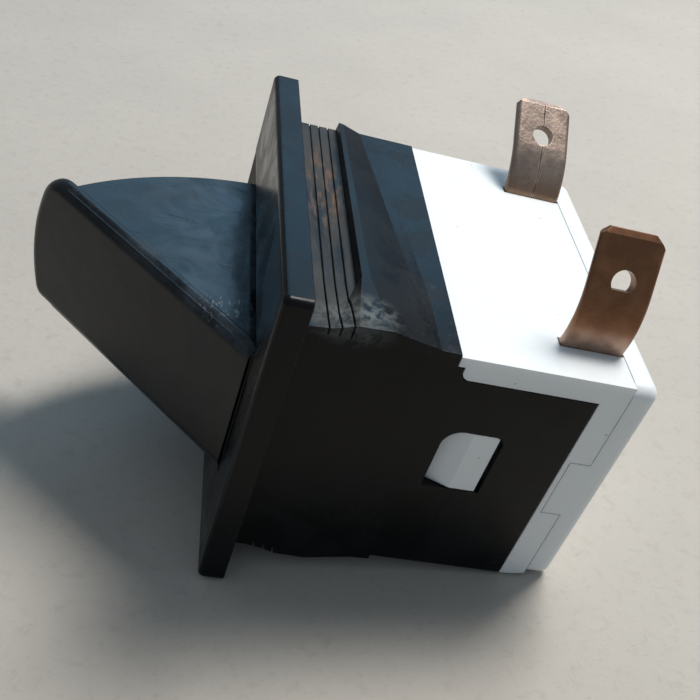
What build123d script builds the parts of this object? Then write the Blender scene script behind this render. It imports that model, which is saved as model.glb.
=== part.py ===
"""Snap-in rocker-paddle door switch: a black housing with a bezel, a hinged sector
paddle, a white contact base with its rear cover, and two folded blade terminals.

Frame, in millimetres: the origin is the centre of the panel cut-out, in the plane of the
bezel's rear face.  +X runs rearwards into the panel, +Z towards the edge of the body that
carries the terminals, and -Y is the side where the paddle is hinged.
"""
import os
from math import atan2, cos, radians, sin, sqrt

from build123d import *

# ---- driving dimensions ------------------------------------------------------------
BEZEL_WIDTH = 30.0            # along Y
BEZEL_HEIGHT = 26.0           # along Z
BEZEL_THICK = 1.9
BODY_WIDTH = 27.0
BODY_HEIGHT = 20.0
WALL = 1.2
TOP_WALL_END = 10.4           # where the white base takes over from the black top wall
SIDE_WALL_END = 20.8          # rear end of the black side and bottom walls
SEAM = 22.8                   # joint between the base and its rear cover
REAR = 24.8                   # rear face of the cover
RIM_DROP = 1.8                # height of the base's top plate
LIP_DROP = 0.8                # height of the thin lip at its front
LIP_REACH = 0.5
PLATE_ROUND = 0.6
FIT_GAP = 0.05                # air between parts that are pushed together

PADDLE_Z = -0.3               # the paddle rests at the lower end of its side play
PADDLE_WIDTH = 11.2           # width of the pushing face
PADDLE_CHEEK = 10.9           # width over the flat cheeks, inside the rim
PUSH_LENGTH = 22.3            # pushing face, heel to tip, at its two edges
PUSH_ANGLE = 43.1             # pushing face to bezel plane, paddle at rest
PUSH_CROWN = 1.3              # how far the tip bows out in the middle
PUSH_THICK = 1.3
PUSH_ROUND = 0.9              # rounding of the pushing face's rim
RIM_BACK_ROUND = 0.25
TIP_CORNER_LOW = 1.3          # rounded corners of the tip, seen square to the face
TIP_CORNER_HIGH = 2.5
HEEL = (-2.12, -10.82)        # where the pushing face starts, in X and Y
PIVOT = (1.3, -11.1)
TRUNNION_R = 1.0
TRUNNION_LENGTH = 1.8
TRUNNION_CLEARANCE = 0.04
ARC_CENTRE = (0.1, -12.2)     # curved back of the paddle
ARC_R = 22.9
ARC_WALL = 1.2
PRESS_ANGLE = 37.0            # full travel of the paddle

OPENING_NEAR = -11.0          # bezel opening, along Y
OPENING_FAR = 11.7
OPENING_HEIGHT = 12.3
RIM_RAMP_DEPTH = 1.1          # ramp in the far rim that takes the tip

STROKE = 2.4                  # plunger travel over the whole press
CARRIER_Y = -7.4
STEM = 2.6                    # square stem of the contact carrier

TAB_WIDTH = 4.75              # 0.187 in quick-connect tab
TAB_THICK = 0.8
SHEET = 0.4
TAB_HOLE_R = 0.875
TAB_X0 = SEAM - TAB_WIDTH
TAB_NEAR_Y = -9.8
TAB_NEAR_BENDS = ((1.0, -12), (7.0, 37))   # radius and angle, from the base upwards
TAB_NEAR_LENGTH = 8.7         # along the tab, above the base
TAB_NEAR_HOLE = 5.25          # height of the hole's centre along the tab
TAB_FAR_Y = 9.95
TAB_FAR_BENDS = ((1.0, 20), (6.5, 32))
TAB_FAR_LENGTH = 8.1
TAB_FAR_HOLE = 4.95
TAB_FRONT_CLIP = 0.6          # clipped corners of the tip
TAB_REAR_CLIP = 0.9
TIP_BEVEL = 0.45              # coined bevel of the tip
SEAM_WIDE = 0.08
SEAM_DEEP = 0.1

BLADE_X = 16.0                # front face of the two contact blades
CONTACT_Z = 5.0
CONTACT_R = 1.25
CONTACT_HIGH = 0.5

# ---- worked out --------------------------------------------------------------------
HALF_W = BODY_WIDTH / 2
HALF_H = BODY_HEIGHT / 2
RIM_Z = HALF_H - RIM_DROP
LIP_Z = HALF_H - LIP_DROP
PUSH = Vector(-sin(radians(PUSH_ANGLE)), cos(radians(PUSH_ANGLE)), 0)
INWARD = Vector(PUSH.Y, -PUSH.X, 0)
FINGER_R = STROKE / (2 * sin(radians(PRESS_ANGLE / 2)))
NOSE_R = 0.7
NOSE = (
    PIVOT[0] - FINGER_R * sin(radians(PRESS_ANGLE / 2)),
    PIVOT[1] + FINGER_R * cos(radians(PRESS_ANGLE / 2)),
)
CAP_X = NOSE[0] + NOSE_R + FIT_GAP
CAP_THICK = 1.3
GUIDE_X = TOP_WALL_END + FIT_GAP
GUIDE_THICK = 1.5
BRIDGE_X = BLADE_X + SHEET + 2 * CONTACT_HIGH
WINDOW_REAR = BRIDGE_X + SHEET + 1.6
OVERTRAVEL = 0.5


def block(x0, x1, y0, y1, z0, z1):
    """Box between two corners."""
    centre = Pos((x0 + x1) / 2, (y0 + y1) / 2, (z0 + z1) / 2)
    return centre * Box(abs(x1 - x0), abs(y1 - y0), abs(z1 - z0))


def prism_y(points, y0, y1):
    """Outline in X and Z, extruded along Y."""
    face = make_face(Polyline([(x, y0, z) for x, z in points], close=True).edges())
    return extrude(face, amount=y1 - y0, dir=(0, 1, 0))


def prism_z(points, z0, z1):
    """Outline in X and Y, extruded along Z."""
    face = make_face(Polyline([(x, y, z0) for x, y in points], close=True).edges())
    return extrude(face, amount=z1 - z0, dir=(0, 0, 1))


def prism_x(points, x0, x1):
    """Outline in Y and Z, extruded along X."""
    face = make_face(Polyline([(x0, y, z) for y, z in points], close=True).edges())
    return extrude(face, amount=x1 - x0, dir=(1, 0, 0))


def rod_x(x0, x1, y, z, radius):
    """Round bar along X."""
    return Pos((x0 + x1) / 2, y, z) * Rot(0, 90, 0) * Cylinder(radius, x1 - x0)


def rod_z(z0, z1, x, y, radius):
    """Round bar along Z."""
    return Pos(x, y, (z0 + z1) / 2) * Cylinder(radius, z1 - z0)


# ---- housing -----------------------------------------------------------------------
GROOVES = (1.6, 2.35, 3.1)    # front edges of the fine grooves ahead of the tooth
GROOVE_WIDE = 0.12
GROOVE_DEEP = 0.12
LATCH_ROOT = 0.4              # how far the latch is sunk into the wall
# outlines of the latch above the wall, as (x, height), with the same number of points
LATCH_FAR = ((0.0, 0.02), (3.85, 0.02), (3.95, 0.72), (4.3, 0.68), (5.85, 0.18), (7.1, 0.17),
             (TOP_WALL_END, 0.15))
LATCH_MIDDLE = ((0.0, 0.05), (3.85, 0.06), (4.0, 0.92), (4.6, 0.92), (8.0, 0.36), (8.9, 0.22),
                (TOP_WALL_END, 0.2))
LATCH_NEAR = ((0.0, 0.26), (1.9, 0.42), (3.4, 0.92), (5.6, 1.0), (8.0, 0.47), (9.0, 0.26),
              (TOP_WALL_END, 0.19))
LATCH_MIDDLE_Y = -8.0
BEZEL_CORNER = 0.5
BEZEL_ROUND = 0.45            # rounding of the bezel's front edges
BODY_CORNER = 0.35
HINGE_CHEEK = (-0.2, 3.6)     # depth of the two cheeks that carry the paddle's hinge
HINGE_CHEEK_REACH = 2.1       # how far they run past the hinge, along Y
HINGE_SOCKET_Z = 7.7          # blind end of the hinge sockets
RELIEF_WIDE = 0.8             # shallow relief in the bezel's rear face, clear of the latch
RELIEF_DEEP = 0.3
RELIEF_END = 0.2              # how far it runs past the side walls
WINDOW = (11.65, 15.95, -1.65, 3.8)
WINDOW_FRONT_ROUND = 1.4
WINDOW_REAR_ROUND = 0.7


def latch_section(profile, y):
    """Cross-section of the panel latch at one place along Y."""
    x0 = profile[0][0]
    x1 = profile[-1][0]
    points = [(x0, HALF_H - LATCH_ROOT)]
    points += [(x, HALF_H + high) for x, high in profile]
    points += [(x1, HALF_H - LATCH_ROOT)]
    return make_face(Polyline([(x, y, z) for x, z in points], close=True).edges())


def panel_latch():
    """Snap latch on the top wall: a tooth with a ramp, its near end rubbed round."""
    far = latch_section(LATCH_FAR, HALF_W)
    middle = latch_section(LATCH_MIDDLE, LATCH_MIDDLE_Y)
    near = latch_section(LATCH_NEAR, -HALF_W)
    latch = loft([far, middle], ruled=True) + loft([middle, near], ruled=True)
    for x in GROOVES:
        latch -= block(x, x + GROOVE_WIDE, -HALF_W, HALF_W, HALF_H - GROOVE_DEEP, HALF_H + 1)
    return latch


def side_window(inset):
    """Latch window through both side walls, shrunk by an inset."""
    x0, x1, z0, z1 = WINDOW
    window = block(x0 + inset, x1 - inset, -HALF_W - 1, HALF_W + 1, z0 + inset, z1 - inset)
    upper = window.edges().filter_by(Axis.Y).group_by(Axis.Z)[-1].sort_by(Axis.X)
    window = fillet(upper[0], WINDOW_FRONT_ROUND)
    rear = window.edges().filter_by(Axis.Y).sort_by(Axis.X)[-2:].sort_by(Axis.Z)
    return fillet(rear[-1], WINDOW_REAR_ROUND)


def rear_cutout(gap):
    """Space of the base's top plate, cut from the rear of the top and side walls: a thin
    lip reaches further forward than the plate under it."""
    lip = block(TOP_WALL_END + gap, REAR, -HALF_W, HALF_W, LIP_Z + gap, HALF_H + 1)
    x0 = TOP_WALL_END + LIP_REACH + gap
    z0 = RIM_Z + gap
    plate = block(x0, REAR, -HALF_W, HALF_W, z0, HALF_H + 1)
    corner = plate.edges().filter_by(Axis.Y).group_by(Axis.Z)[0].sort_by(Axis.X)[0]
    return lip + fillet(corner, PLATE_ROUND)


def housing():
    plate = block(-BEZEL_THICK, 0, -BEZEL_WIDTH / 2, BEZEL_WIDTH / 2,
                  -BEZEL_HEIGHT / 2, BEZEL_HEIGHT / 2)
    plate = fillet(plate.edges().filter_by(Axis.X), BEZEL_CORNER)
    plate = fillet(plate.faces().sort_by(Axis.X)[0].edges(), BEZEL_ROUND)
    shell = block(0, SIDE_WALL_END, -HALF_W, HALF_W, -HALF_H, HALF_H)
    shell = fillet(shell.edges().filter_by(Axis.X), BODY_CORNER)
    shell -= block(0, SIDE_WALL_END, -HALF_W + WALL, HALF_W - WALL, -HALF_H + WALL, HALF_H - WALL)
    latch = panel_latch()
    for x in GROOVES:
        for z in (HALF_H, -HALF_H):
            shell -= block(x, x + GROOVE_WIDE, -HALF_W, HALF_W, z - GROOVE_DEEP, z + GROOVE_DEEP)
    body = plate + shell + latch + mirror(latch, about=Plane.XY)
    for side in (-1, 1):
        z0, z1 = sorted((side * HALF_H, side * (HALF_H + RELIEF_WIDE)))
        body -= block(-RELIEF_DEEP, 0, -HALF_W - RELIEF_END, HALF_W + RELIEF_END, z0, z1)
    body -= rear_cutout(0)
    half_open = OPENING_HEIGHT / 2
    body -= block(-BEZEL_THICK - 1, 0, OPENING_NEAR, OPENING_FAR, -half_open, half_open)
    ramp = [
        (-BEZEL_THICK, BEZEL_WIDTH / 2 + 0.01),
        (-BEZEL_THICK - 0.5, OPENING_FAR - 0.1),
        (-BEZEL_THICK + RIM_RAMP_DEPTH, OPENING_FAR - 0.1),
    ]
    body -= prism_z(ramp, -half_open, half_open)
    for side in (-1, 1):
        z0, z1 = sorted((side * (half_open + FIT_GAP), side * (HALF_H - WALL + 0.1)))
        body += block(*HINGE_CHEEK, -HALF_W + WALL - 0.1, PIVOT[1] + HINGE_CHEEK_REACH, z0, z1)
        z0, z1 = sorted((side * (half_open - 0.5), side * HINGE_SOCKET_Z))
        body -= rod_z(z0, z1, *PIVOT, TRUNNION_R + TRUNNION_CLEARANCE)
    return body - side_window(0)


# ---- paddle ------------------------------------------------------------------------
def arc_point(x, radius):
    """Point at the given X on a circle about the arc's centre, on its far side."""
    return (x, ARC_CENTRE[1] + sqrt(radius ** 2 - (x - ARC_CENTRE[0]) ** 2))


def push_point(along, deep):
    """Point in X and Y, measured along the pushing face and inwards from it."""
    p = Vector(*HEEL) + PUSH * along + INWARD * deep
    return (p.X, p.Y)


def arc_meets_push(radius, deep):
    """Where a circle about the arc's centre meets a line parallel to the pushing face."""
    start = Vector(*push_point(0, deep)) - Vector(*ARC_CENTRE)
    b = start.dot(PUSH)
    along = -b + sqrt(b * b - start.dot(start) + radius ** 2)
    return push_point(along, deep)


def arc_between(start, end, radius):
    """Arc about the arc's centre from start to end, as three points."""
    angles = [atan2(p[1] - ARC_CENTRE[1], p[0] - ARC_CENTRE[0]) for p in (start, end)]
    middle = sum(angles) / 2
    mid = (ARC_CENTRE[0] + radius * cos(middle), ARC_CENTRE[1] + radius * sin(middle))
    return ThreePointArc(start, mid, end)


SKIRT_X = 0.9                 # inner end of the curved back
STOP_LIP = (0.12, -4.0, 4.0)  # stop lip on the curved back: front face and its two ends
STOP_LIP_HIGH = 1.25
HINGE_EYE_R = 1.12            # round lug of each cheek about the hinge
FINGER_ROOT = (3.4, 6.4)      # where the finger joins the pushing face
FINGER_HALF = 1.6


def cheek(z0, z1):
    """One flat side of the sector, from the pushing face to the curved back."""
    start = arc_meets_push(ARC_R - 0.1, 0.3)
    end = arc_point(SKIRT_X, ARC_R - 0.1)
    outline = [
        Line(push_point(0.4, 0.3), start),
        arc_between(start, end, ARC_R - 0.1),
        Line(end, (PIVOT[0] + HINGE_EYE_R, PIVOT[1])),
        Line((PIVOT[0] + HINGE_EYE_R, PIVOT[1]), (PIVOT[0] - 0.9, PIVOT[1] + 0.25)),
        Line((PIVOT[0] - 0.9, PIVOT[1] + 0.25), push_point(0.4, 0.3)),
    ]
    face = make_face(outline)
    side = extrude(Pos(0, 0, z0) * face, amount=z1 - z0, dir=(0, 0, 1))
    return side + rod_z(z0, z1, *PIVOT, HINGE_EYE_R)


def push_plate():
    """Pushing face with its bowed tip and its rounded rim."""
    half = PADDLE_WIDTH / 2
    plane = Plane(origin=(HEEL[0], HEEL[1], PADDLE_Z), x_dir=PUSH, z_dir=INWARD)
    bow = ThreePointArc((PUSH_LENGTH, -half), (PUSH_LENGTH + PUSH_CROWN, 0), (PUSH_LENGTH, half))
    outline = [
        Line((0, -half), (PUSH_LENGTH, -half)),
        bow,
        Line((PUSH_LENGTH, half), (0, half)),
        Line((0, half), (0, -half)),
    ]
    along = Axis(origin=(0, 0, 0), direction=PUSH)
    inward = Axis(origin=(0, 0, 0), direction=INWARD)
    plate = extrude(plane * make_face(outline), amount=PUSH_THICK, dir=INWARD)
    low = plate.edges().filter_by(inward).sort_by(Axis.Z)[:2].sort_by(along)[-1]
    plate = fillet(low, TIP_CORNER_LOW)
    high = plate.edges().filter_by(inward).sort_by(Axis.Z)[-2:].sort_by(along)[-1]
    plate = fillet(high, TIP_CORNER_HIGH)
    outer = plate.faces().sort_by(inward)[0]
    plate = fillet(outer.edges().sort_by(along)[1:], PUSH_ROUND)
    back = plate.faces().sort_by(inward)[-1]
    return fillet(back.edges().sort_by(along)[1:], RIM_BACK_ROUND)


def curved_back():
    """Curved wall that closes the opening as the paddle goes in, with its stop lip."""
    outer = [arc_meets_push(ARC_R, 0.5), arc_point(SKIRT_X, ARC_R)]
    inner_r = ARC_R - ARC_WALL
    inner = [arc_meets_push(inner_r, 0.5), arc_point(SKIRT_X, inner_r)]
    outline = [
        arc_between(outer[0], outer[1], ARC_R),
        Line(outer[1], inner[1]),
        arc_between(inner[1], inner[0], inner_r),
        Line(inner[0], outer[0]),
    ]
    low = PADDLE_Z - PADDLE_CHEEK / 2
    wall = extrude(Pos(0, 0, low) * make_face(outline), amount=PADDLE_CHEEK, dir=(0, 0, 1))
    top = outer[1][1]
    return wall + block(STOP_LIP[0], SKIRT_X, top - 0.6, top + STOP_LIP_HIGH, *STOP_LIP[1:])


def finger():
    """Rib under the pushing face whose round nose drives the plunger cap."""
    root = push_point(FINGER_ROOT[0], PUSH_THICK - 0.3)
    tail = push_point(FINGER_ROOT[1], PUSH_THICK - 0.3)
    nose_x = NOSE[0] + 0.2
    outline = [root, tail, (nose_x, NOSE[1] + NOSE_R), (nose_x, NOSE[1] - NOSE_R)]
    rib = prism_z(outline, -FINGER_HALF, FINGER_HALF)
    return rib + rod_z(-FINGER_HALF, FINGER_HALF, *NOSE, NOSE_R)


def paddle():
    low = PADDLE_Z - PADDLE_CHEEK / 2
    high = PADDLE_Z + PADDLE_CHEEK / 2
    part = push_plate() + curved_back() + finger()
    part += cheek(high - ARC_WALL, high) + cheek(low, low + ARC_WALL)
    part += block(-1.9, 0.1, -10.85, -9.9, low + 0.1, high - 0.1)
    part += rod_z(high - 0.2, high + TRUNNION_LENGTH, *PIVOT, TRUNNION_R)
    part += rod_z(low - TRUNNION_LENGTH, low + 0.2, *PIVOT, TRUNNION_R)
    return part


# ---- plunger: cap, carrier and springs ---------------------------------------------
CAP_R = 2.6
CAP_SOCKET = 0.4              # front skin of the cap over the stem's socket
FRAME_HALF = (2.1, 2.0)       # half sizes of the carrier's frame, in Y and Z
FRAME_END = 0.7
FRAME_OPEN = 1.3              # half width of the opening the bridge floats in
RETURN_COIL = (2.15, 0.5, 5)  # mean radius, wire and turns
CONTACT_COIL = (0.85, 0.3, 3)
SPRING_SEAT = 0.02            # air at each end of a spring


def plunger_cap():
    disc = rod_x(CAP_X, CAP_X + CAP_THICK, CARRIER_Y, 0, CAP_R)
    half = STEM / 2 + 0.01
    return disc - block(CAP_X + CAP_SOCKET, CAP_X + CAP_THICK + 1, CARRIER_Y - half, CARRIER_Y + half,
                        -half, half)


def contact_carrier():
    half = STEM / 2
    x0 = CAP_X + CAP_SOCKET + 0.02
    stem = block(x0, BLADE_X, CARRIER_Y - half, CARRIER_Y + half, -half, half)
    wide, high = FRAME_HALF
    frame = block(BLADE_X - 0.3, WINDOW_REAR + FRAME_END, CARRIER_Y - wide, CARRIER_Y + wide,
                  -high, high)
    frame -= block(BRIDGE_X - OVERTRAVEL, WINDOW_REAR, CARRIER_Y - FRAME_OPEN,
                   CARRIER_Y + FRAME_OPEN, -high - 1, high + 1)
    return stem + frame


def coil(x0, x1, radius, wire, turns):
    """Compression spring along X, on the plunger's axis, with its ends cut by the seats."""
    length = x1 - x0 - wire
    path = Helix(pitch=length / turns, height=length, radius=radius)
    start = Plane(origin=path @ 0, z_dir=path % 0)
    body = sweep(start * Circle(wire / 2), path=path, is_frenet=True)
    return Pos(x0 + wire / 2, CARRIER_Y, 0) * Rot(0, 90, 0) * body


def return_spring():
    return coil(CAP_X + CAP_THICK + SPRING_SEAT, GUIDE_X - SPRING_SEAT, *RETURN_COIL)


def contact_spring():
    return coil(BRIDGE_X + SHEET + SPRING_SEAT, WINDOW_REAR - SPRING_SEAT, *CONTACT_COIL)


# ---- contacts ----------------------------------------------------------------------
BRIDGE_HALF = (1.2, 6.6)      # half sizes of the moving strip, in Y and Z
BRIDGE_CORNER = 0.8
SHANK_R = 0.6                 # rivet shanks and their holes
SHANK_AIR = 0.01
LEG_REAR = 22.0               # rear edge of the blades' legs
LEG_TOP = 9.2
BLADE_HALF = 1.8              # half height of each contact blade about its contact
BLADE_END = 1.6               # how far a blade runs past the contact


def contact_bridge():
    wide, high = BRIDGE_HALF
    strip = block(BRIDGE_X, BRIDGE_X + SHEET, CARRIER_Y - wide, CARRIER_Y + wide, -high, high)
    strip = fillet(strip.edges().filter_by(Axis.X), BRIDGE_CORNER)
    for z in (-CONTACT_Z, CONTACT_Z):
        strip -= rod_x(BRIDGE_X - 1, BRIDGE_X + 2, CARRIER_Y, z, SHANK_R)
    return strip


def contact_rivet(x, z, forward):
    """Silver contact button: its face is at x, its shank runs back through one sheet."""
    way = -1 if forward else 1
    head = rod_x(*sorted((x, x - way * CONTACT_HIGH)), CARRIER_Y, z, CONTACT_R)
    edge = head.faces().sort_by(Axis.X)[0 if forward else -1].edges()
    head = fillet(edge, 0.15)
    back = x - way * (CONTACT_HIGH + SHEET + 0.15)
    return head + rod_x(*sorted((x - way * 0.3, back)), CARRIER_Y, z, SHANK_R - SHANK_AIR)


def blade_tab(y, bends, length, hole_up, seam_side):
    """Folded quick-connect tab above the base: bent by steps of radius and angle, with a
    fine seam where the folded sheet's edges meet."""
    mid = TAB_X0 + TAB_WIDTH / 2
    foot_z = RIM_Z + 0.8
    section = RectangleRounded(TAB_WIDTH, TAB_THICK, 0.38)
    section -= Pos(0, seam_side * TAB_THICK / 2, 0) * Rectangle(SEAM_WIDE, 2 * SEAM_DEEP)
    foot = extrude(Pos(mid, y, foot_z) * section, amount=HALF_H - foot_z, dir=(0, 0, 1))
    lifted = Pos(mid, y, HALF_H) * section
    place = Location()
    tab = foot
    straight = length
    for radius, lean in bends:
        side = 1 if lean > 0 else -1
        centre_y = y + side * radius
        axis = Axis(origin=(0, centre_y, HALF_H), direction=(-side, 0, 0))
        tab += place * revolve(lifted, axis=axis, revolution_arc=abs(lean))
        place *= Pos(0, centre_y, HALF_H) * Rot(-lean, 0, 0) * Pos(0, -centre_y, -HALF_H)
        straight -= radius * radians(abs(lean))
    top = extrude(lifted, amount=straight, dir=(0, 0, 1))
    tip = HALF_H + straight
    for side, clip in ((-1, TAB_FRONT_CLIP), (1, TAB_REAR_CLIP)):
        edge = mid + side * TAB_WIDTH / 2
        out = edge + side * 0.01
        cut = [(edge - side * clip, tip + 0.01), (out, tip + 0.01), (out, tip - clip)]
        top -= prism_y(cut, y - 1, y + 1)
    for side in (-1, 1):
        face = y + side * TAB_THICK / 2
        out = face + side * 0.01
        bevel = [(out, tip - TIP_BEVEL), (out, tip + 0.01), (face - side * TIP_BEVEL / 2, tip + 0.01)]
        top -= prism_x(bevel, TAB_X0, TAB_X0 + TAB_WIDTH)
    hole_z = tip - (length - hole_up)
    top -= Pos(mid, y, hole_z) * Rot(90, 0, 0) * Cylinder(TAB_HOLE_R, 3)
    return tab + place * top


def terminal_near():
    """Blade whose foot bends in to carry the upper fixed contact."""
    tab = blade_tab(TAB_NEAR_Y, TAB_NEAR_BENDS, TAB_NEAR_LENGTH, TAB_NEAR_HOLE, 1)
    y0 = TAB_NEAR_Y - TAB_THICK / 2
    low = CONTACT_Z - BLADE_HALF
    high = CONTACT_Z + BLADE_HALF
    leg = block(TAB_X0 + 0.3, LEG_REAR, y0, y0 + SHEET, low, LEG_TOP)
    foot = block(BLADE_X, LEG_REAR, y0, y0 + SHEET, low, high + 0.6)
    blade = block(BLADE_X, BLADE_X + SHEET, y0, CARRIER_Y + BLADE_END, low, high)
    return tab + leg + foot + blade - rod_x(BLADE_X - 1, BLADE_X + 1, CARRIER_Y, CONTACT_Z, SHANK_R)


def terminal_far():
    """Blade whose leg runs down and across behind the paddle to the lower contact."""
    tab = blade_tab(TAB_FAR_Y, TAB_FAR_BENDS, TAB_FAR_LENGTH, TAB_FAR_HOLE, -1)
    y1 = TAB_FAR_Y + TAB_THICK / 2
    low = -CONTACT_Z - BLADE_HALF
    high = -CONTACT_Z + BLADE_HALF
    leg = block(TAB_X0 + 0.3, LEG_REAR, y1 - SHEET, y1, low, LEG_TOP)
    foot = block(BLADE_X, LEG_REAR, y1 - SHEET, y1, low, high)
    blade = block(BLADE_X, BLADE_X + SHEET, CARRIER_Y - BLADE_END, y1, low, high)
    return tab + leg + foot + blade - rod_x(BLADE_X - 1, BLADE_X + 1, CARRIER_Y, -CONTACT_Z, SHANK_R)


# ---- base and cover ----------------------------------------------------------------
INNER_Y = HALF_W - WALL - FIT_GAP      # outside of the base's own side walls
INNER_Z = HALF_H - WALL - FIT_GAP
BASE_WALL = 1.0
TONGUE_FRONT = 21.3
TONGUE_HALF = 2.6
COVER_CORNER = 0.9
COVER_ROUND = 0.8             # rounding of the cover's rear edges
COVER_SHORT = 0.4             # how far the cover's lower edge stops above the base's
COVER_RIM_X = 22.05           # front edge of the rim that plugs into the base
COVER_RIM_WALL = 0.9
FLANGE_RISE = 0.5             # the base's rear rim rises this much along its lower edge
POST_THICK = 1.4              # posts the contact blades bear on
POST_Z = 3.0
RIB_Y = 7.0                   # rib behind the long blade
RIB_REAR = 18.0
RIVET_POCKET_R = 0.8
TONGUE_THICK = 1.1
HOOK_HIGH = 1.2               # how far the snap hook stands into the housing's window
HOOK_NOSE = 0.35              # height of its front end
HOOK_FLAT_X = 13.7            # where its ramp ends
HOOK_PLAY = 0.35              # play between the hook and the rear edge of the window


def snap_hook():
    """Ramped hook on the near side wall, held by the rear edge of the housing window."""
    x0 = WINDOW[0] + 2 * FIT_GAP
    x1 = WINDOW[1] - HOOK_PLAY
    root = INNER_Y - 0.3
    crest = INNER_Y + HOOK_HIGH
    ramp = [(x0, root), (x0, INNER_Y + HOOK_NOSE), (HOOK_FLAT_X, crest), (x1, crest), (x1, root)]
    return prism_z([(x, -y) for x, y in ramp], WINDOW[2], WINDOW[3]) & side_window(FIT_GAP)


def base():
    top = rear_cutout(FIT_GAP) & block(GUIDE_X, SEAM, -HALF_W, HALF_W, RIM_Z, HALF_H)
    box = block(GUIDE_X, SIDE_WALL_END, -INNER_Y, INNER_Y, -INNER_Z, RIM_Z + 0.3)
    flange = block(SIDE_WALL_END + FIT_GAP, SEAM, -HALF_W, HALF_W, -HALF_H, HALF_H)
    flange = fillet(flange.edges().filter_by(Axis.X), BODY_CORNER)
    rise = [(SIDE_WALL_END, -HALF_H), (SEAM + 1, -HALF_H + 1.5 * FLANGE_RISE),
            (SEAM + 1, -HALF_H - 1), (SIDE_WALL_END, -HALF_H - 1)]
    flange -= prism_y(rise, -HALF_W, HALF_W)
    body = top + box + flange
    wide = INNER_Y - BASE_WALL
    body -= block(GUIDE_X - 1, SEAM, -wide, wide, -INNER_Z + BASE_WALL, RIM_Z + FIT_GAP)
    low = -INNER_Z + BASE_WALL - 0.1
    high = RIM_Z + 0.1
    guide = block(GUIDE_X, GUIDE_X + GUIDE_THICK, -wide - 0.1, -1.2, low, high)
    half = STEM / 2 + FIT_GAP
    guide -= block(GUIDE_X - 1, GUIDE_X + 3, CARRIER_Y - half, CARRIER_Y + half, -half, half)
    body += guide
    post_x = BLADE_X - FIT_GAP
    for z0, z1 in ((POST_Z, high), (low, -POST_Z)):
        body += block(post_x - POST_THICK, post_x, -wide - 0.1, CARRIER_Y + 2.0, z0, z1)
    for z in (-CONTACT_Z, CONTACT_Z):
        body -= rod_x(post_x - 0.3, post_x + 1, CARRIER_Y, z, RIVET_POCKET_R)
    rib_top = -CONTACT_Z + BLADE_HALF - 0.2
    body += block(BLADE_X + SHEET + FIT_GAP, RIB_REAR, RIB_Y, TAB_FAR_Y - 0.1, low, rib_top)
    hook = snap_hook()
    body += hook + mirror(hook, about=Plane.XZ)
    for y in (TAB_NEAR_Y, TAB_FAR_Y):
        slot = TAB_THICK / 2 + FIT_GAP
        body -= block(TAB_X0 - FIT_GAP, SEAM + 1, y - slot, y + slot, RIM_Z - 1, HALF_H + 1)
    for side in (-1, 1):
        y0, y1 = sorted((side * (HALF_W - TONGUE_THICK - FIT_GAP), side * (HALF_W + 1)))
        body -= block(TONGUE_FRONT - FIT_GAP, SEAM + 1, y0, y1,
                      -TONGUE_HALF - FIT_GAP, TONGUE_HALF + FIT_GAP)
    return body


def rear_cover():
    x0 = SEAM + FIT_GAP
    plate = block(x0, REAR, -HALF_W, HALF_W, -HALF_H + COVER_SHORT, HALF_H)
    plate = fillet(plate.edges().filter_by(Axis.X), COVER_CORNER)
    plate = fillet(plate.faces().sort_by(Axis.X)[-1].edges(), COVER_ROUND)
    wide = INNER_Y - BASE_WALL - FIT_GAP
    low = -INNER_Z + BASE_WALL + FIT_GAP
    high = RIM_Z - FIT_GAP
    rim = block(COVER_RIM_X, x0 + 0.1, -wide, wide, low, high)
    inner = wide - COVER_RIM_WALL
    rim -= block(COVER_RIM_X - 1, x0 + 1, -inner, inner, low + COVER_RIM_WALL, high - COVER_RIM_WALL)
    slot = TAB_THICK / 2 + 2 * FIT_GAP
    for y in (TAB_NEAR_Y, TAB_FAR_Y):
        rim -= block(COVER_RIM_X - 1, SEAM + 0.01, y - slot, y + slot, high - 1.5, high + 1)
    cover = plate + rim
    for side in (-1, 1):
        y0, y1 = sorted((side * (HALF_W - TONGUE_THICK), side * HALF_W))
        cover += block(TONGUE_FRONT, x0 + 0.2, y0, y1, -TONGUE_HALF, TONGUE_HALF)
    return cover


# ---- nodes -------------------------------------------------------------------------
def nodes():
    bridge_face = BLADE_X + SHEET + CONTACT_HIGH
    return {
        "housing": housing(),
        "paddle": paddle(),
        "plunger_cap": plunger_cap(),
        "contact_carrier": contact_carrier(),
        "return_spring": return_spring(),
        "contact_spring": contact_spring(),
        "contact_bridge": contact_bridge(),
        "bridge_contact_upper": contact_rivet(bridge_face, CONTACT_Z, True),
        "bridge_contact_lower": contact_rivet(bridge_face, -CONTACT_Z, True),
        "fixed_contact_upper": contact_rivet(bridge_face, CONTACT_Z, False),
        "fixed_contact_lower": contact_rivet(bridge_face, -CONTACT_Z, False),
        "terminal_near": terminal_near(),
        "terminal_far": terminal_far(),
        "base": base(),
        "rear_cover": rear_cover(),
    }


os.makedirs("parts", exist_ok=True)
for name, shape in nodes().items():
    export_step(shape, f"parts/{name}.step")
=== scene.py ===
"""Looks of the snap-in paddle door switch: moulded black and white plastics, worn
copper-alloy blades, steel springs, a pale floor, soft light and the camera."""
from math import cos, pi, radians, sin

import bpy
from mathutils import Matrix, Vector


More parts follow.
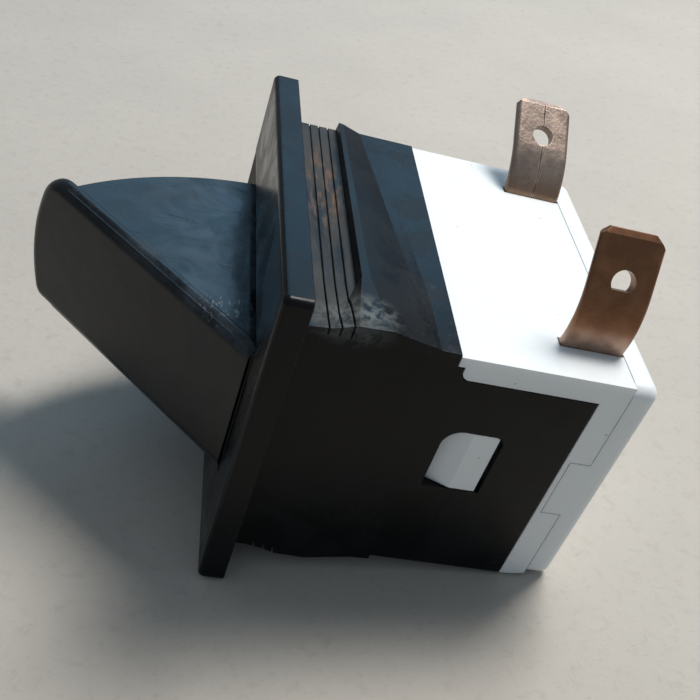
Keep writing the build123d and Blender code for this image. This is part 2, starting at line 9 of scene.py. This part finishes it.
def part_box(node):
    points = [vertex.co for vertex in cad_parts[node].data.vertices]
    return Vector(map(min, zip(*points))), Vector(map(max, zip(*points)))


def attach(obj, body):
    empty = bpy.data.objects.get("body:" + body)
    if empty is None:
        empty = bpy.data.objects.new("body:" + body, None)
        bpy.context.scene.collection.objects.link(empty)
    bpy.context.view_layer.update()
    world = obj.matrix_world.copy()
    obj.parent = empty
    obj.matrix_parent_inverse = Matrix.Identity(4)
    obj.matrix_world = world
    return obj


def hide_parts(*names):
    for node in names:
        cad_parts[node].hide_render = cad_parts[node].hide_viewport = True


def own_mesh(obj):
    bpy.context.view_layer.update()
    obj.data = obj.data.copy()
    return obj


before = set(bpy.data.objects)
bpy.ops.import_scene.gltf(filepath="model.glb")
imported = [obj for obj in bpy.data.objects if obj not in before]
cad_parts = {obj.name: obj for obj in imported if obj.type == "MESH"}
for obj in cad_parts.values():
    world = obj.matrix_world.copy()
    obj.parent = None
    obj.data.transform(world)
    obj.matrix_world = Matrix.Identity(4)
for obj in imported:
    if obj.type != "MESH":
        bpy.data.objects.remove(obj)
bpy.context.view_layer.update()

MM = 0.001
MM_PER_METRE = 1000           # the finishes are worked out in millimetres
BEVEL_SAMPLES = 6
FLAT, SHARP = 0.995, 0.86     # likeness of a rounded normal to the real one
SPECK_CORE = 0.03             # distance from a cell's centre where a speck starts to fade
SCRATCH_STRETCH = 0.12        # scale along a scratch, against 1 across it


# ---- small shader vocabulary -------------------------------------------------------
class Paint:
    """A node material, with short calls for the nodes that the finishes share."""

    def __init__(self, name, **values):
        self.material = bpy.data.materials.new(name)
        self.material.use_nodes = True
        self.tree = self.material.node_tree
        self.shader = self.tree.nodes["Principled BSDF"]
        for socket, value in values.items():
            self.shader.inputs[socket.replace("_", " ")].default_value = value
        place = self.tree.nodes.new("ShaderNodeTexCoord")
        self.at = self.vector("MULTIPLY", place.outputs["Object"], (MM_PER_METRE,) * 3)

    def node(self, kind, **settings):
        made = self.tree.nodes.new(kind)
        for key, value in settings.items():
            setattr(made, key, value)
        return made

    def plug(self, socket, value):
        if isinstance(value, bpy.types.NodeSocket):
            self.tree.links.new(value, socket)
        else:
            socket.default_value = value

    def vector(self, operation, a, b):
        made = self.node("ShaderNodeVectorMath", operation=operation)
        self.plug(made.inputs[0], a)
        self.plug(made.inputs[1], b)
        return made.outputs["Value" if operation == "DOT_PRODUCT" else "Vector"]

    def math(self, operation, a, b=0.0, clamp=False):
        made = self.node("ShaderNodeMath", operation=operation, use_clamp=clamp)
        self.plug(made.inputs[0], a)
        self.plug(made.inputs[1], b)
        return made.outputs[0]

    def times(self, a, b):
        return self.math("MULTIPLY", a, b)

    def add(self, a, b, clamp=False):
        return self.math("ADD", a, b, clamp)

    def ramp(self, value, low, high, out_low=0.0, out_high=1.0):
        """Smooth step from low to high."""
        made = self.node("ShaderNodeMapRange", interpolation_type="SMOOTHSTEP")
        for socket, number in zip(made.inputs, (value, low, high, out_low, out_high)):
            self.plug(socket, number)
        return made.outputs[0]

    def noise(self, scale, detail=4.0, rough=0.55, stretch=(1, 1, 1), warp=0.0):
        """Noise with about scale features to the millimetre."""
        made = self.node("ShaderNodeTexNoise")
        self.plug(made.inputs["Vector"], self.vector("MULTIPLY", self.at, stretch))
        self.plug(made.inputs["Scale"], scale)
        self.plug(made.inputs["Detail"], detail)
        self.plug(made.inputs["Roughness"], rough)
        self.plug(made.inputs["Distortion"], warp)
        return made.outputs["Fac"]

    def cells(self, scale, feature="F1", at=None):
        """Distance in a pattern of about scale cells to the millimetre."""
        made = self.node("ShaderNodeTexVoronoi", feature=feature)
        self.plug(made.inputs["Vector"], self.at if at is None else at)
        self.plug(made.inputs["Scale"], scale)
        return made.outputs["Distance"]

    def axis(self, letter):
        made = self.node("ShaderNodeSeparateXYZ")
        self.plug(made.inputs[0], self.at)
        return made.outputs[letter]

    def band(self, letter, low, high, soft):
        """1 between low and high millimetres along an axis, with soft ends."""
        value = self.axis(letter)
        rise = self.ramp(value, low - soft, low + soft)
        fall = self.ramp(value, high - soft, high + soft, 1.0, 0.0)
        return self.times(rise, fall)

    def spot(self, centre, size, soft):
        """1 inside an ellipsoid about a point, fading to 0 at its surface."""
        away = self.vector("SUBTRACT", self.at, centre)
        away = self.vector("DIVIDE", away, size)
        length = self.node("ShaderNodeVectorMath", operation="LENGTH")
        self.plug(length.inputs[0], away)
        return self.ramp(length.outputs["Value"], 1.0 - soft, 1.0, 1.0, 0.0)

    def specks(self, scale, size, patch, limits):
        """Small dots, one to a cell, kept only inside patches of noise."""
        dots = self.ramp(self.cells(scale), SPECK_CORE, size, 1.0, 0.0)
        return self.times(dots, self.ramp(self.noise(patch, 2), *limits))

    def edges(self, radius):
        """1 on sharp edges, 0 on flats, from the difference a rounding would make."""
        flat = self.node("ShaderNodeNewGeometry").outputs["Normal"]
        likeness = self.vector("DOT_PRODUCT", self.rounded(radius), flat)
        return self.ramp(likeness, FLAT, SHARP)

    def mix(self, factor, a, b):
        made = self.node("ShaderNodeMix", data_type="RGBA")
        self.plug(made.inputs["Factor"], factor)
        first, second = made.inputs[6:8]        # the colour sockets
        self.plug(first, a)
        self.plug(second, b)
        return made.outputs[2]

    def coat(self, under, colour, mask, share):
        """Lays a colour over another where the mask is 1, at a share of its full strength."""
        return self.mix(self.times(mask, share), under, colour)

    def relief(self, fine, fine_share, broad, broad_share):
        """Height of a surface from fine grain and broad waves, each given as for noise()."""
        return self.add(self.times(self.noise(*fine), fine_share),
                        self.times(self.noise(*broad), broad_share))

    def scratches(self, turn, scale=0.45, thin=0.045):
        """Fine straight scuffs along a direction turned about all three axes."""
        turned = self.node("ShaderNodeMapping")
        self.plug(turned.inputs["Vector"], self.at)
        self.plug(turned.inputs["Rotation"], [radians(t) for t in turn])
        self.plug(turned.inputs["Scale"], (SCRATCH_STRETCH, 1.0, 1.0))
        lines = self.cells(scale, "DISTANCE_TO_EDGE", turned.outputs[0])
        return self.ramp(lines, 0.0, thin, 1.0, 0.0)

    def rounded(self, radius):
        """Normal of the surface with its edges rounded to a radius in millimetres."""
        bevel = self.node("ShaderNodeBevel", samples=BEVEL_SAMPLES)
        self.plug(bevel.inputs["Radius"], radius * MM)
        return bevel.outputs["Normal"]

    def finish(self, colour, roughness, height, depth, round_edges=0.0):
        """Joins the colour, the roughness and a relief of a depth in millimetres."""
        self.plug(self.shader.inputs["Base Color"], colour)
        if roughness is not None:
            self.plug(self.shader.inputs["Roughness"], roughness)
        bump = self.node("ShaderNodeBump")
        self.plug(bump.inputs["Height"], height)
        self.plug(bump.inputs["Distance"], depth * MM)
        if round_edges:
            self.plug(bump.inputs["Normal"], self.rounded(round_edges))
        self.plug(self.shader.inputs["Normal"], bump.outputs["Normal"])
        return self.material


def grey(value):
    return (value, value, value, 1)


def shade(colour, share):
    return tuple(share * channel for channel in colour[:3]) + (1,)


# ---- finishes ----------------------------------------------------------------------
# Places on the part in millimetres: low and high along an axis, or a centre and a reach
WALL_FACE = (9.8, 11.4)       # Z of the upper wall and the latch on it
TAIL = (7.4, 10.5)            # X of the wall behind the latch
GROOVES = (0.5, 3.8)          # X of the grooved strip
DUST = ((3.2, -12.0, 10.6), (4.0, 2.7, 2.0))
RUST = ((2.3, 3.5, 10.1), (2.0, 8.5, 1.2))
CHEEK = (4.6, 6.5)            # Z of the paddle's upper cheek
CHEEK_RUN = (-15.0, -2.0)     # X from its tip to the bezel
# painted highlight: centre and reach of the glints painted on the paddle's upper cheek by the
# bead
PAINTED_GLINTS = ((-3.7, -6.6, 5.2), (2.6, 2.6, 1.2))
BLADE_FOOT = (8.0, 11.4)      # Z of a blade where it leaves the base


def black_housing():
    p = Paint("black_housing", Specular_IOR_Level=0.17)
    cloud = p.ramp(p.noise(0.22, 5, 0.6, warp=0.5), 0.35, 0.65)
    base = p.mix(cloud, (0.0018, 0.0021, 0.0024, 1), (0.0042, 0.005, 0.006, 1))
    worn = p.times(p.edges(0.25), p.ramp(p.noise(1.6, 6), 0.42, 0.68))
    base = p.coat(base, (0.045, 0.052, 0.058, 1), worn, 0.3)
    top = p.band("Z", *WALL_FACE, 0.15)
    tail = p.times(p.band("X", *TAIL, 0.4), top)
    chalk = p.times(tail, p.ramp(p.noise(2.2, 7, 0.65), 0.52, 0.7))
    base = p.coat(base, (0.05, 0.058, 0.064, 1), chalk, 0.22)
    dust = p.times(p.spot(*DUST, 0.7), p.ramp(p.noise(1.3, 7, 0.65, warp=0.4), 0.4, 0.62))
    base = p.coat(base, (0.13, 0.145, 0.145, 1), dust, 0.8)
    grooves = p.times(p.band("X", *GROOVES, 0.25), top)
    film = p.times(grooves, p.ramp(p.noise(0.45, 6, stretch=(1, 0.35, 1)), 0.3, 0.6))
    base = p.coat(base, (0.085, 0.088, 0.085, 1), film, 0.5)
    streaks = p.ramp(p.noise(1.1, 7, 0.6, stretch=(1.6, 0.4, 1)), 0.46, 0.62)
    rust = p.times(p.spot(*RUST, 0.7), streaks)
    base = p.coat(base, (0.15, 0.08, 0.042, 1), rust, 0.75)
    dull = p.times(p.add(dust, film, True), 0.35)
    rough = p.add(p.ramp(cloud, 0.0, 1.0, 0.2, 0.34), dull, True)
    scuff = p.times(p.scratches((0, 10, 35)), p.ramp(p.noise(0.22, 3), 0.5, 0.7))
    height = p.math("SUBTRACT", p.relief((9.0, 3), 0.25, (0.4, 2), 0.8), p.times(scuff, 0.2))
    return p.finish(base, rough, height, 0.03, 0.12)


def black_paddle():
    p = Paint("black_paddle", Specular_IOR_Level=0.3)
    cloud = p.ramp(p.noise(0.16, 6, 0.62, warp=0.8), 0.36, 0.64)
    base = p.mix(cloud, (0.002, 0.0024, 0.0028, 1), (0.007, 0.009, 0.0115, 1))
    rubbed = p.ramp(p.noise(0.5, 8, 0.7, stretch=(0.5, 1.2, 1), warp=0.6), 0.5, 0.72)
    base = p.coat(base, (0.022, 0.029, 0.035, 1), rubbed, 0.3)
    # scuff haze and painted sheen: a bluish haze on the upper cheek, growing lighter towards the
    # bezel, stands partly for the sky's reflection
    wisps = p.ramp(p.noise(0.35, 6, 0.6, warp=0.6), 0.3, 0.62)
    scuff_haze_and_sheen = p.times(p.ramp(p.axis("X"), *CHEEK_RUN), wisps)
    base = p.coat(base, (0.034, 0.046, 0.057, 1), scuff_haze_and_sheen, p.band("Z", *CHEEK, 0.2))
    base = p.coat(base, grey(0.16), p.specks(0.8, 0.07, 0.3, (0.45, 0.6)), 0.4)
    # painted highlight: pale flecks painted on the upper cheek where the lamp's glints fall on
    # the bead
    glint_flecks = p.ramp(p.noise(2.6, 5, 0.6, stretch=(1.6, 0.6, 1)), 0.54, 0.66)
    painted_glints = p.times(p.spot(*PAINTED_GLINTS, 0.8), glint_flecks)
    base = p.coat(base, (0.3, 0.33, 0.35, 1), painted_glints, 0.7)
    worn = p.times(p.edges(0.3), p.ramp(p.noise(1.3, 5), 0.45, 0.7))
    base = p.coat(base, (0.07, 0.08, 0.09, 1), worn, 0.2)
    rough = p.add(p.ramp(cloud, 0.0, 1.0, 0.13, 0.3), p.times(rubbed, 0.12), True)
    fine = p.times(p.scratches((0, 0, 30), 0.7, 0.02), p.ramp(p.noise(0.25, 3), 0.48, 0.66))
    height = p.math("SUBTRACT", p.relief((6.0, 3), 0.1, (0.24, 2), 1.4), p.times(fine, 0.12))
    return p.finish(base, rough, height, 0.05, 0.1)


def white_plastic(name, tint):
    p = Paint(name, Subsurface_Weight=0.12, Subsurface_Scale=1.5 * MM)
    p.shader.inputs["Subsurface Radius"].default_value = (1.0, 0.9, 0.8)
    base = p.mix(p.noise(0.25, 4), tint, shade(tint, 0.95))
    dirt = p.ramp(p.noise(0.9, 8, 0.65), 0.62, 0.8)
    base = p.coat(base, (0.5, 0.47, 0.42, 1), dirt, 0.2)
    base = p.coat(base, (0.2, 0.17, 0.14, 1), p.specks(0.5, 0.06, 0.4, (0.42, 0.58)), 0.55)
    rough = p.ramp(p.noise(1.5, 4), 0.3, 0.7, 0.38, 0.52)
    return p.finish(base, rough, p.relief((8.0, 3), 0.4, (0.4, 2), 0.6), 0.025, 0.12)


def old_copper(name, dark, warm, bright, foot, metal, pits, rub):
    """Oxidised copper alloy: a brown film with mottling, rubbed bright along the edges."""
    p = Paint(name, Metallic=metal)
    cloud = p.ramp(p.noise(0.4, 6, 0.6, warp=0.4), 0.35, 0.65)
    base = p.mix(cloud, dark, warm)
    spots = p.ramp(p.noise(3.2, 7, 0.7), 0.54, 0.7)
    base = p.coat(base, shade(dark, 0.45), spots, pits)
    mottle = p.ramp(p.noise(0.8, 6), 0.3, 0.6, 0.4, 0.9)
    base = p.coat(base, foot, p.band("Z", *BLADE_FOOT, 1.0), mottle)
    worn = p.times(p.edges(0.16), p.ramp(p.noise(1.8, 5), 0.36, 0.6))
    base = p.coat(base, bright, worn, rub)
    film = p.ramp(p.noise(1.2, 5), 0.3, 0.7, 0.3, 0.44)
    rough = p.add(film, p.times(spots, 0.15), True)
    return p.finish(base, rough, p.relief((4.0, 5), pits, (0.5, 2), 0.6), 0.03, 0.05)


def steel_wire():
    p = Paint("steel_wire", Metallic=1.0)
    base = p.mix(p.noise(1.5, 5), grey(0.42), (0.56, 0.55, 0.53, 1))
    rough = p.ramp(p.noise(3.0, 4), 0.3, 0.7, 0.22, 0.36)
    return p.finish(base, rough, p.noise(12.0, 3, stretch=(0.2, 1, 1)), 0.01)


def acetal():
    p = Paint("acetal", Subsurface_Weight=0.2, Subsurface_Scale=1.0 * MM)
    base = p.mix(p.noise(0.5, 4), (0.62, 0.6, 0.54, 1), (0.7, 0.68, 0.62, 1))
    rough = p.ramp(p.noise(2.0, 4), 0.3, 0.7, 0.35, 0.48)
    return p.finish(base, rough, p.noise(7.0, 3), 0.015, 0.1)


def silver():
    p = Paint("silver", Metallic=1.0)
    base = p.mix(p.noise(1.4, 5), (0.75, 0.73, 0.68, 1), (0.5, 0.47, 0.42, 1))
    rough = p.ramp(p.noise(3.0, 4), 0.3, 0.7, 0.25, 0.4)
    return p.finish(base, rough, p.noise(5.0, 4), 0.01, 0.05)


def dress():
    """Gives every node its finish."""
    white = (0.8, 0.83, 0.84, 1)
    bronze = old_copper(
        "bronze",
        dark=(0.18, 0.08, 0.038, 1),
        warm=(0.26, 0.12, 0.058, 1),
        bright=(0.5, 0.3, 0.2, 1),
        foot=(0.5, 0.34, 0.26, 1),
        metal=0.7,
        pits=0.2,
        rub=0.4,
    )
    aged = old_copper(
        "aged_bronze",
        dark=(0.24, 0.185, 0.155, 1),
        warm=(0.36, 0.275, 0.225, 1),
        bright=(0.9, 0.66, 0.54, 1),
        foot=(0.26, 0.16, 0.1, 1),
        metal=0.75,
        pits=0.7,
        rub=0.8,
    )
    bridge = old_copper(
        "bridge_copper",
        dark=(0.45, 0.22, 0.11, 1),
        warm=(0.6, 0.32, 0.17, 1),
        bright=(0.8, 0.5, 0.3, 1),
        foot=(0.5, 0.25, 0.13, 1),
        metal=1.0,
        pits=0.5,
        rub=0.5,
    )
    natural = acetal()
    contact = silver()
    wire = steel_wire()
    finishes = {
        "housing": black_housing(),
        "paddle": black_paddle(),
        "base": white_plastic("white_base", white),
        "rear_cover": white_plastic("white_cover", white),
        "terminal_near": bronze,
        "terminal_far": aged,
        "plunger_cap": natural,
        "contact_carrier": natural,
        "contact_bridge": bridge,
        "return_spring": wire,
        "contact_spring": wire,
    }
    for name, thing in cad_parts.items():
        for slot in thing.material_slots:
            slot.material = finishes.get(name, contact)


# ---- springs -----------------------------------------------------------------------
CLOSED_TURNS = 0.8            # turns that lie closed at each end of a spring
COIL_STEPS = 28               # rings of points to a turn
COIL_SIDES = 10               # points round the wire


def coil(node, body, turns, wire):
    """Wound spring in place of a node, attached to a body."""
    low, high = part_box(node)
    middle = (low + high) / 2
    radius = (high.y - low.y - wire) / 2
    travel = high.x - low.x - wire
    count = int(turns * COIL_STEPS)
    open_pitch = (travel - 2 * CLOSED_TURNS * wire) / (turns - 2 * CLOSED_TURNS)
    points, faces = [], []
    x = low.x + wire / 2
    for i in range(count + 1):
        angle = 2 * pi * i / COIL_STEPS
        out = Vector((0, cos(angle), sin(angle)))
        centre = Vector((x, middle.y, middle.z)) + out * radius
        for k in range(COIL_SIDES):
            turn = 2 * pi * k / COIL_SIDES
            points.append(centre + (out * cos(turn) + Vector((1, 0, 0)) * sin(turn)) * wire / 2)
        at_end = i < CLOSED_TURNS * COIL_STEPS or i >= count - CLOSED_TURNS * COIL_STEPS
        x += (wire if at_end else open_pitch) / COIL_STEPS
    for i in range(count):
        for k in range(COIL_SIDES):
            a = i * COIL_SIDES + k
            b = i * COIL_SIDES + (k + 1) % COIL_SIDES
            faces.append((a, b, b + COIL_SIDES, a + COIL_SIDES))
    faces.append(tuple(range(COIL_SIDES))[::-1])
    faces.append(tuple(count * COIL_SIDES + k for k in range(COIL_SIDES)))
    mesh = bpy.data.meshes.new(node + "_wire")
    mesh.from_pydata(points, [], faces)
    for face in mesh.polygons:
        face.use_smooth = len(face.vertices) == 4
    spring = bpy.data.objects.new(node + "_wire", mesh)
    bpy.context.collection.objects.link(spring)
    mesh.materials.append(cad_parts[node].material_slots[0].material)
    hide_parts(node)
    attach(spring, body)
    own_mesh(spring)


def springs():
    coil("return_spring", "body", turns=6.5, wire=0.5 * MM)
    coil("contact_spring", "plunger", turns=4.0, wire=0.24 * MM)


# ---- floor, light and camera -------------------------------------------------------
BOARD_SIZE = 3                # metres
BOARD_GAP = 0.02 * MM         # air between the board and the part


def floor():
    """Pale board under the bezel's lower edge and the rear cover's lower edge."""
    bezel_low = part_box("housing")[0]
    cover_low, cover_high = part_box("rear_cover")
    front = Vector((0, 0, bezel_low.z))
    rear = Vector((cover_high.x, 0, cover_low.z))
    along = (rear - front).normalized()
    up = Vector((-along.z, 0, along.x))
    bpy.ops.mesh.primitive_plane_add(size=BOARD_SIZE)
    board = bpy.context.object
    board.name = "floor"
    board.location = front - up * BOARD_GAP
    board.rotation_mode = "QUATERNION"
    board.rotation_quaternion = Vector((0, 0, 1)).rotation_difference(up)
    p = Paint("floor_board", Roughness=0.75)
    fibre = p.noise(0.9, 6, 0.65, warp=0.6)
    base = p.mix(p.noise(0.05, 6, 0.6), (0.42, 0.39, 0.35, 1), (0.52, 0.485, 0.43, 1))
    base = p.coat(base, (0.3, 0.26, 0.22, 1), p.ramp(fibre, 0.5, 0.75), 0.3)
    flecks = p.ramp(p.noise(2.6, 5, 0.6, stretch=(0.5, 1.6, 1)), 0.6, 0.7)
    base = p.coat(base, (0.24, 0.2, 0.16, 1), flecks, 0.22)
    board.data.materials.append(p.finish(base, None, fibre, 0.05))


def area_light(name, place, aim, size, power, colour):
    data = bpy.data.lights.new(name, "AREA")
    data.shape = "RECTANGLE"
    data.size, data.size_y = size
    data.energy = power
    data.color = colour
    lamp = bpy.data.objects.new(name, data)
    bpy.context.collection.objects.link(lamp)
    lamp.location = place
    lamp.rotation_mode = "QUATERNION"
    lamp.rotation_quaternion = (aim - lamp.location).to_track_quat("-Z", "Y")


LAMP_AIM = Vector((5, 0, 0)) * MM
WORLD_COLOUR = (0.72, 0.86, 1.0, 1)
WORLD_STRENGTH = 0.3
LAMPS = (                     # name, metres from the part, size, watts and colour
    ("key", (0.09, 0.11, 0.32), (0.12, 0.12), 1.35, (1.0, 0.97, 0.93)),
    ("sky", (0.03, 0.36, 0.24), (0.3, 0.16), 0.24, (0.3, 0.66, 1.0)),
)


def lights(middle):
    world = bpy.data.worlds.new("studio")
    world.use_nodes = True
    background = world.node_tree.nodes["Background"]
    background.inputs["Color"].default_value = WORLD_COLOUR
    background.inputs["Strength"].default_value = WORLD_STRENGTH
    bpy.context.scene.world = world
    bpy.context.scene.view_settings.view_transform = "Standard"
    for name, away, size, power, colour in LAMPS:
        area_light(name, middle + Vector(away), middle, size, power, colour)


CAMERA_AZIMUTH = -17.04       # degrees; 0 looks along +Y
CAMERA_ELEVATION = 36.89      # degrees above the horizon
CAMERA_ROLL = 20.6            # degrees
CAMERA_DISTANCE = 80.47 * MM
CAMERA_AIM = Vector((7.48, 0, -1.58)) * MM
CAMERA_LENS = 52.29           # millimetres
CAMERA_CLIP = (0.005, 20)     # metres


def camera():
    azimuth, elevation = radians(CAMERA_AZIMUTH), radians(CAMERA_ELEVATION)
    back = Vector((sin(azimuth) * cos(elevation), -cos(azimuth) * cos(elevation), sin(elevation)))
    data = bpy.data.cameras.new("camera")
    data.lens = CAMERA_LENS
    data.clip_start, data.clip_end = CAMERA_CLIP
    eye = bpy.data.objects.new("camera", data)
    bpy.context.collection.objects.link(eye)
    turn = (-back).to_track_quat("-Z", "Y").to_matrix().to_4x4()
    eye.matrix_world = (
        Matrix.Translation(CAMERA_AIM + back * CAMERA_DISTANCE)
        @ turn
        @ Matrix.Rotation(radians(CAMERA_ROLL), 4, "Z")
    )
    bpy.context.scene.camera = eye


dress()
springs()
floor()
lights(LAMP_AIM)
camera()
